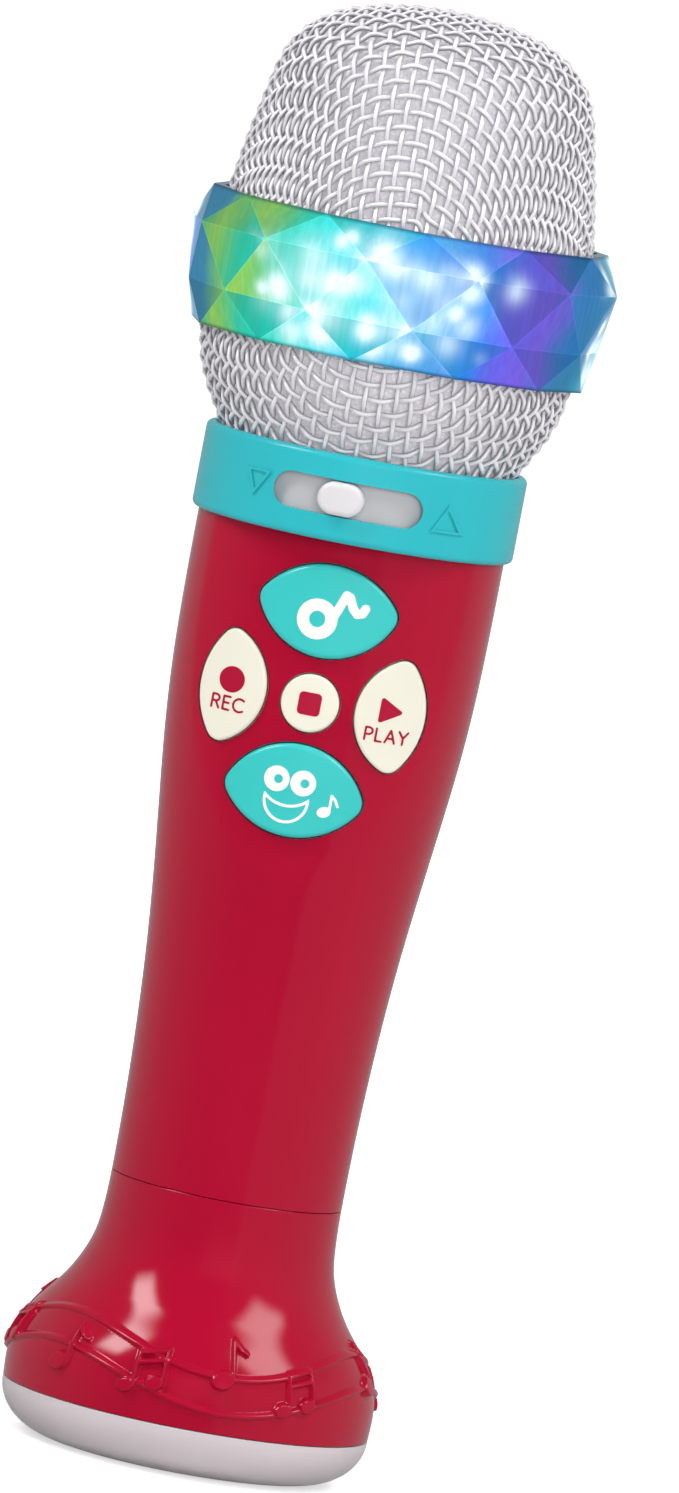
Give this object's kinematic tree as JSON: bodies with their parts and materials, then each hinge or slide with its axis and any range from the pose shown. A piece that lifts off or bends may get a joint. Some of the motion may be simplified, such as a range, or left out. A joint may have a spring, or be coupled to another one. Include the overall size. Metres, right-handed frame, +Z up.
{
  "type": "toy microphone",
  "caption": "Child's handheld sing-along microphone with woven-mesh head, faceted light band, collar slider, press keys and a rounded standing foot.",
  "frame": {"origin": "centre of the foot's flat underside", "axes": "+Z up the handle to the head, -Y out of the keys, +X to the right of someone facing the keys"},
  "size_m": [0.078, 0.078, 0.265],
  "materials": {
    "crimson_shell": "polished",
    "teal_trim": "polished",
    "teal_key": "polished",
    "cream_key": "polished",
    "pale_foot": "satin",
    "knob": "polished",
    "clear_band": "clear",
    "diffuser": "frosted",
    "mesh": "painted",
    "liner": "foam",
    "white_frame": "moulded",
    "black_frame": "moulded",
    "silicone": "matt",
    "board": "lacquered",
    "chip": "epoxy",
    "lamp": "clear",
    "steel": "plated",
    "cell": "wrapped",
    "wire": "insulated",
    "paper_cone": "paper"
  },
  "bodies": {
    "case": {"handle_front": "crimson_shell", "handle_rear": "crimson_shell", "base_flare": "crimson_shell", "collar": "teal_trim", "foot_cap": "pale_foot", "light_ring": "clear_band", "light_diffuser": "diffuser", "dome_grille": "mesh", "bowl_grille": "mesh", "dome_liner": "liner", "bowl_liner": "liner", "head_frame": "white_frame", "speaker_bracket": "white_frame", "mic_bridge": "white_frame", "battery_tray": "black_frame", "speaker_basket": "steel", "speaker_magnet": "steel", "speaker_cone": "paper_cone", "mic_boot": "silicone", "mic_capsule": "steel", "dome_song": "silicone", "dome_voice": "silicone", "dome_record": "silicone", "dome_play": "silicone", "dome_stop": "silicone", "main_board": "board", "led_board": "board", "sound_chip": "chip", "board_capacitors": "chip", "pitch_control": "steel", "leds": "lamp", "battery_cell_1": "cell", "battery_cell_2": "cell", "battery_cell_3": "cell", "contact_springs": "steel", "contact_plates": "steel", "case_screws": "steel", "flare_screws": "steel", "foot_screws": "steel", "head_screws": "steel", "bracket_screws": "steel", "board_screws": "steel", "battery_wires": "wire", "head_wires": "wire", "speaker_wires": "wire", "pickup_wires": "wire"},
    "slider": {"slide_knob": "knob"},
    "pitch_tap": {"pitch_lever": "black_frame"},
    "door": {"battery_door": "crimson_shell", "door_screw": "steel"},
    "key_song": {"button_song": "teal_key"},
    "key_voice": {"button_voice": "teal_key"},
    "key_record": {"button_record": "cream_key"},
    "key_play": {"button_play": "cream_key"},
    "key_stop": {"button_stop": "cream_key"}
  },
  "joints": [
    {"name": "press_song", "type": "slide", "parent": "case", "child": "key_song", "axis": [0, 1, 0], "range_m": [0, 0.0012], "stiffness_N_per_m": 500, "springref_m": -0.0008, "deforming": ["dome_song"]},
    {"name": "press_voice", "type": "slide", "parent": "case", "child": "key_voice", "axis": [0, 1, 0], "range_m": [0, 0.0012], "stiffness_N_per_m": 500, "springref_m": -0.0008, "deforming": ["dome_voice"]},
    {"name": "press_record", "type": "slide", "parent": "case", "child": "key_record", "axis": [0, 1, 0], "range_m": [0, 0.0012], "stiffness_N_per_m": 500, "springref_m": -0.0008, "deforming": ["dome_record"]},
    {"name": "press_play", "type": "slide", "parent": "case", "child": "key_play", "axis": [0, 1, 0], "range_m": [0, 0.0012], "stiffness_N_per_m": 500, "springref_m": -0.0008, "deforming": ["dome_play"]},
    {"name": "press_stop", "type": "slide", "parent": "case", "child": "key_stop", "axis": [0, 1, 0], "range_m": [0, 0.0012], "stiffness_N_per_m": 500, "springref_m": -0.0008, "deforming": ["dome_stop"]},
    {"name": "slide_pitch", "type": "hinge", "parent": "case", "child": "slider", "pos_m": [0, 0, 0.1772], "axis": [0, 0, 1], "range_deg": [-16.5, 20.5]},
    {"name": "tap_shift", "type": "slide", "parent": "case", "child": "pitch_tap", "axis": [1, 0, 0], "range_m": [-0.00518, 0.00642]},
    {"name": "door_off", "type": "slide", "parent": "case", "child": "door", "axis": [0, 1, 0], "range_m": [0, 0.03]}
  ],
  "couplings": [
    {"joint": "tap_shift", "follows": "slide_pitch", "m_per_rad": 0.0178}
  ]
}
